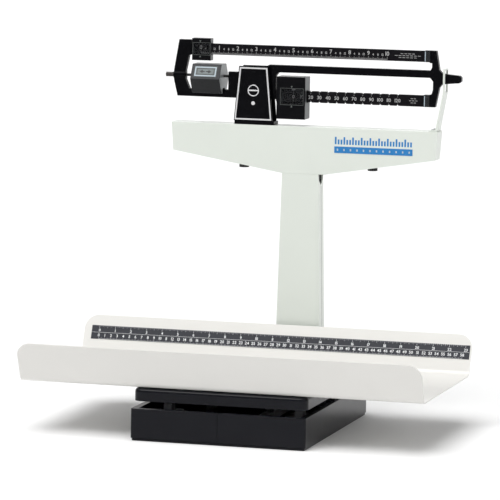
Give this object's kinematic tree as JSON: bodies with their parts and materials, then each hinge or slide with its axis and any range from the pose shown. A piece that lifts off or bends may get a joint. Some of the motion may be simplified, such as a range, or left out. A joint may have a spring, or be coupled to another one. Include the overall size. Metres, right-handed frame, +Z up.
{
  "type": "infant beam scale",
  "caption": "Mechanical balance scale for infants: open weighing tray with measuring tape on a lever base, column behind, and a beam with sliding poises on a shelf.",
  "frame": {"origin": "on the table under the middle of the base plate, at the plate's underside", "axes": "+X to the right along the tray and the beam, +Y from the front to the column, +Z up"},
  "size_m": [0.618, 0.3863, 0.574],
  "materials": {
    "base_black": "semi-gloss black enamel",
    "tray_enamel": "warm white baked enamel",
    "column_enamel": "pale grey-green white enamel",
    "stand_black": "black enamel",
    "beam_black": "gloss black enamel on an aluminium casting",
    "bar_black": "black enamel on drawn aluminium, with engraved scale",
    "poise_black": "satin black with ground grey ends",
    "weight_grey": "dark grey, ground ends",
    "lever_grey": "cast grey",
    "knife_steel": "ground",
    "rod_steel": "drawn",
    "rod_black": "blackened thread",
    "screw_steel": "machined",
    "knob_black": "fluted",
    "plug_black": "matte",
    "loop_white": "white enamel",
    "badge_silver": "bright",
    "label_silver": "etched",
    "label_blue": "printed stripe",
    "tape_black": "black strip with pale figures",
    "window_clear": "clear"
  },
  "bodies": {
    "root": {"base_housing": "base_black", "base_plate": "base_black", "lever_bearings": "knife_steel", "column_foot": "lever_grey", "column_front": "column_enamel", "column_back": "column_enamel", "column_cap": "stand_black", "column_screws": "screw_steel", "beam_shelf": "column_enamel", "shelf_back": "column_enamel", "shelf_plugs": "plug_black", "shelf_bearing": "knife_steel", "shelf_label": "label_blue", "stand_foot": "stand_black", "stand_front": "stand_black", "stand_back": "stand_black", "stand_screws": "screw_steel", "beam_bearings": "knife_steel", "badge_frame": "badge_silver", "badge_emblem": "badge_silver", "trig_loop": "loop_white", "trig_loop_screws": "screw_steel"},
    "platform": {"platform_cover": "base_black", "platform_frame": "lever_grey", "platform_bearings": "knife_steel", "tray": "tray_enamel", "measuring_tape": "tape_black", "tray_screws": "screw_steel"},
    "main_lever": {"main_lever": "lever_grey", "main_lever_pivots": "knife_steel"},
    "short_lever": {"short_lever": "lever_grey", "short_lever_pivots": "knife_steel"},
    "draft_rod": {"draft_rod": "rod_steel", "draft_rod_hooks": "knife_steel"},
    "shelf_lever": {"shelf_lever": "lever_grey", "shelf_lever_pivots": "knife_steel"},
    "beam_link": {"beam_link": "rod_steel"},
    "beam": {"beam_frame": "beam_black", "upper_bar": "bar_black", "lower_bar": "bar_black", "bar_end_blocks": "beam_black", "beam_rivets": "screw_steel", "beam_pivots": "knife_steel"},
    "balance_rod": {"balance_rod": "rod_black", "balance_knob": "knob_black"},
    "balance_weight": {"balance_weight": "weight_grey", "weight_label": "label_silver"},
    "upper_poise": {"upper_poise": "poise_black", "upper_poise_window": "window_clear"},
    "lower_poise": {"lower_poise": "poise_black", "lower_poise_window": "window_clear", "lower_poise_pawl": "knife_steel"}
  },
  "joints": [
    {"name": "beam_tilt", "type": "hinge", "parent": "root", "child": "beam", "pos_m": [-0.048, 0.165, 0.509], "axis": [0, -1, 0], "range_deg": [-1.9, 0.65], "stiffness_Nm_per_rad": 0.5, "springref_deg": 7.04},
    {"name": "upper_poise_slide", "type": "slide", "parent": "beam", "child": "upper_poise", "axis": [1, 0, 0], "range_m": [0, 0.33]},
    {"name": "lower_poise_slide", "type": "slide", "parent": "beam", "child": "lower_poise", "axis": [1, 0, 0], "range_m": [0, 0.1644]},
    {"name": "balance_rod_spin", "type": "hinge", "parent": "beam", "child": "balance_rod", "pos_m": [-0.184, 0.165, 0.5165], "axis": [1, 0, 0], "range_deg": [-1801, 2161]},
    {"name": "balance_weight_slide", "type": "slide", "parent": "beam", "child": "balance_weight", "axis": [1, 0, 0], "range_m": [-0.005, 0.006]},
    {"name": "beam_link_lift", "type": "slide", "parent": "root", "child": "beam_link", "axis": [0, 0, 1], "range_m": [-0.000162, 0.0004735]},
    {"name": "shelf_lever_tilt", "type": "hinge", "parent": "root", "child": "shelf_lever", "pos_m": [0.144, 0.165, 0.398], "axis": [0, -1, 0], "range_deg": [-0.13171, 0.04506]},
    {"name": "draft_rod_lift", "type": "slide", "parent": "root", "child": "draft_rod", "axis": [0, 0, 1], "range_m": [-0.0000897, 0.0002621]},
    {"name": "main_lever_tilt", "type": "hinge", "parent": "root", "child": "main_lever", "pos_m": [0, -0.135, 0.03], "axis": [-1, 0, 0], "range_deg": [-0.04988, 0.01707]},
    {"name": "short_lever_tilt", "type": "hinge", "parent": "root", "child": "short_lever", "pos_m": [0, 0.135, 0.03], "axis": [1, 0, 0], "range_deg": [-0.04988, 0.01707]},
    {"name": "platform_drop", "type": "slide", "parent": "root", "child": "platform", "axis": [0, 0, -1], "range_m": [-0.0000392, 0.0000134]}
  ],
  "couplings": [
    {"joint": "beam_link_lift", "follows": "beam_tilt", "m_per_rad": -0.014},
    {"joint": "shelf_lever_tilt", "follows": "beam_tilt", "ratio": 0.067961},
    {"joint": "draft_rod_lift", "follows": "beam_tilt", "m_per_rad": -0.0077476},
    {"joint": "main_lever_tilt", "follows": "beam_tilt", "ratio": 0.025739},
    {"joint": "short_lever_tilt", "follows": "beam_tilt", "ratio": 0.025739},
    {"joint": "platform_drop", "follows": "beam_tilt", "m_per_rad": 0.0011583},
    {"joint": "balance_rod_spin", "follows": "balance_weight_slide", "rad_per_m": 6283.2}
  ]
}
